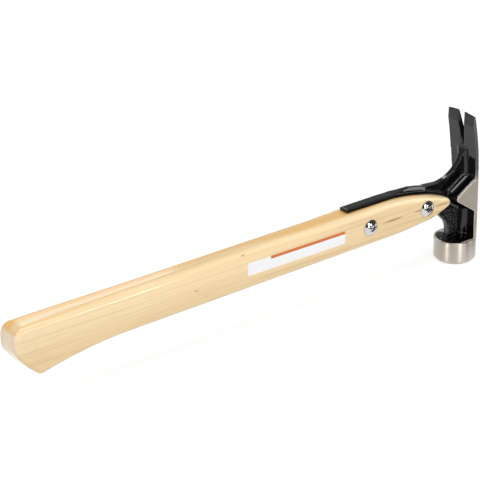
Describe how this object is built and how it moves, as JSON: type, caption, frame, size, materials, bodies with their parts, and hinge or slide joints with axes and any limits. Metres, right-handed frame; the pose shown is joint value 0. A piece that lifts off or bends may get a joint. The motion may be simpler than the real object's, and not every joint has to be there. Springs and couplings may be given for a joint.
{
  "type": "framing hammer",
  "caption": "Framing hammer: black forged steel head with straight nail-pulling claws, ground poll and cheeks, and a lacquered wooden handle bolted to the head's tang",
  "frame": {"origin": "centre of the flat striking face", "axes": "+Z along the poll's axis from the striking face towards the claw tips, -X along the handle towards the butt, the hammer's flat sides face -Y and +Y"},
  "size_m": [0.4443, 0.0346, 0.1269],
  "materials": {
    "black_paint": "gloss black paint over forged steel; the poll and the cheeks are ground bare",
    "lacquered_wood": "pale straight-grained wood under clear satin lacquer",
    "chrome": "polished"
  },
  "bodies": {
    "root": {"head": "black_paint", "handle": "lacquered_wood", "screw_front": "chrome", "screw_rear": "chrome", "sleeve_front": "chrome", "sleeve_rear": "chrome"}
  },
  "joints": []
}
